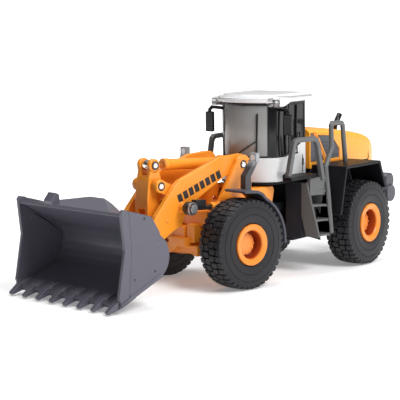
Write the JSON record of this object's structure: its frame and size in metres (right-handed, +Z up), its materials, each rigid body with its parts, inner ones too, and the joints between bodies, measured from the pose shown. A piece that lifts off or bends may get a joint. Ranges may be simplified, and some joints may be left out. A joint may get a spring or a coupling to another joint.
{
  "type": "toy front loader",
  "caption": "Die-cast toy wheel loader with an articulated frame, rolling wheels, lifting arms, Z-bar linkage and a toothed bucket.",
  "frame": {"origin": "middle of the whole loader seen from above, on the ground plane the tyres stand on", "axes": "+X forward along the rear half of the frame, from tow hitch to bucket; +Y to the loader's left; +Z up"},
  "size_m": [0.1956, 0.0848, 0.0768],
  "materials": {
    "orange_paint": "satin die-cast enamel",
    "hood_paint": "satin die-cast enamel, slightly yellower",
    "bucket_paint": "satin slate enamel",
    "white_plastic": "semi-gloss moulded",
    "black_plastic": "matt moulded",
    "grey_plastic": "matt moulded",
    "fender_plastic": "matt moulded",
    "chassis_plastic": "matt moulded",
    "window_plastic": "smoked, polished",
    "windscreen_plastic": "smoked, polished",
    "steel": "polished ends",
    "tyre": "matt rubber",
    "lens_white": "clear over white",
    "lens_red": "tinted"
  },
  "bodies": {
    "rear_frame": {"rear_chassis": "chassis_plastic", "rear_chassis_screws": "steel", "steering_pin": "steel", "cab_floor": "black_plastic", "cab_lower_shell": "white_plastic", "cab_frame": "black_plastic", "windscreen": "windscreen_plastic", "side_windows": "window_plastic", "rear_window": "window_plastic", "cab_roof": "white_plastic", "roof_lamps": "lens_white", "wipers": "black_plastic", "driver_seat": "black_plastic", "steering_console": "black_plastic", "mirror_left": "black_plastic", "mirror_right": "black_plastic", "walkway_left": "black_plastic", "walkway_right": "black_plastic", "ladder_left": "grey_plastic", "ladder_right": "grey_plastic", "engine_hood": "hood_paint", "side_grilles": "black_plastic", "side_panels": "black_plastic", "exhaust_pipe": "black_plastic", "rear_fender_left": "black_plastic", "rear_fender_right": "black_plastic", "counterweight": "fender_plastic", "tail_lamps": "lens_red"},
    "rear_axle": {"rear_axle_shaft": "steel", "rear_rims": "orange_paint", "rear_tyre_left": "tyre", "rear_tyre_right": "tyre"},
    "front_frame": {"front_chassis": "orange_paint", "front_chassis_screws": "steel", "arm_pivot_pin": "steel", "lift_root_pins": "steel", "front_fender_left": "fender_plastic", "front_fender_right": "fender_plastic", "headlamps": "grey_plastic", "headlamp_lenses": "lens_white"},
    "front_axle": {"front_axle_shaft": "steel", "front_rims": "orange_paint", "front_tyre_left": "tyre", "front_tyre_right": "tyre"},
    "lift_arms": {"lift_arms": "orange_paint", "bellcrank_pin": "steel", "lift_eye_pins": "steel"},
    "lift_barrels": {"lift_barrels": "orange_paint"},
    "lift_rods": {"lift_rods": "steel"},
    "bellcrank": {"bellcrank": "orange_paint", "bellcrank_pins": "steel"},
    "tilt_link": {"tilt_link": "orange_paint"},
    "tilt_barrel": {"tilt_barrel": "orange_paint"},
    "tilt_rod": {"tilt_rod": "steel"},
    "bucket": {"bucket": "bucket_paint", "bucket_pins": "steel"}
  },
  "joints": [
    {"name": "steer", "type": "hinge", "parent": "rear_frame", "child": "front_frame", "pos_m": [-0.01984, 0.01157, 0.023], "axis": [0, 0, 1], "range_deg": [-6.4, 29.6]},
    {"name": "rear_axle_spin", "type": "hinge", "parent": "rear_frame", "child": "rear_axle", "pos_m": [-0.05754, 0.01157, 0.0185], "axis": [0, 1, 0], "continuous": true},
    {"name": "front_axle_spin", "type": "hinge", "parent": "front_frame", "child": "front_axle", "pos_m": [0.01709, 0.00398, 0.0185], "axis": [0.2011, 0.9796, 0], "continuous": true},
    {"name": "lift", "type": "hinge", "parent": "front_frame", "child": "lift_arms", "pos_m": [0.00475, 0.00652, 0.0488], "axis": [-0.2011, -0.9796, 0], "range_deg": [0, 50]},
    {"name": "lift_barrel_swing", "type": "hinge", "parent": "front_frame", "child": "lift_barrels", "pos_m": [-0.00074, 0.00764, 0.032], "axis": [-0.2011, -0.9796, 0], "range_deg": [0, 39]},
    {"name": "lift_rod_slide", "type": "slide", "parent": "lift_barrels", "child": "lift_rods", "axis": [0.9785, -0.2009, 0.0473], "range_m": [0, 0.01245]},
    {"name": "tilt_barrel_swing", "type": "hinge", "parent": "front_frame", "child": "tilt_barrel", "pos_m": [0.00475, 0.00652, 0.0488], "axis": [-0.2011, -0.9796, 0], "range_deg": [0, 50]},
    {"name": "tilt", "type": "hinge", "parent": "lift_arms", "child": "bucket", "pos_m": [0.05412, -0.00362, 0.02], "axis": [-0.2011, -0.9796, 0], "range_deg": [-30, 38]},
    {"name": "bellcrank_swing", "type": "hinge", "parent": "lift_arms", "child": "bellcrank", "pos_m": [0.04452, -0.00165, 0.0427], "axis": [-0.2011, -0.9796, 0], "range_deg": [-20, 16]},
    {"name": "tilt_link_swing", "type": "hinge", "parent": "bellcrank", "child": "tilt_link", "pos_m": [0.04677, -0.00211, 0.028], "axis": [-0.2011, -0.9796, 0], "range_deg": [-29, 37]},
    {"name": "tilt_rod_slide", "type": "slide", "parent": "tilt_barrel", "child": "tilt_rod", "axis": [0.9783, -0.2008, 0.0513], "range_m": [-0.0023, 0.00288]}
  ],
  "couplings": [
    {"joint": "lift_barrel_swing", "follows": "lift", "ratio": 0.7626},
    {"joint": "lift_rod_slide", "follows": "lift", "m_per_rad": 0.014147},
    {"joint": "tilt_barrel_swing", "follows": "lift", "ratio": 1},
    {"joint": "bellcrank_swing", "follows": "tilt", "ratio": -0.5212},
    {"joint": "tilt_link_swing", "follows": "tilt", "ratio": 0.9645},
    {"joint": "tilt_rod_slide", "follows": "tilt", "m_per_rad": 0.004194}
  ]
}
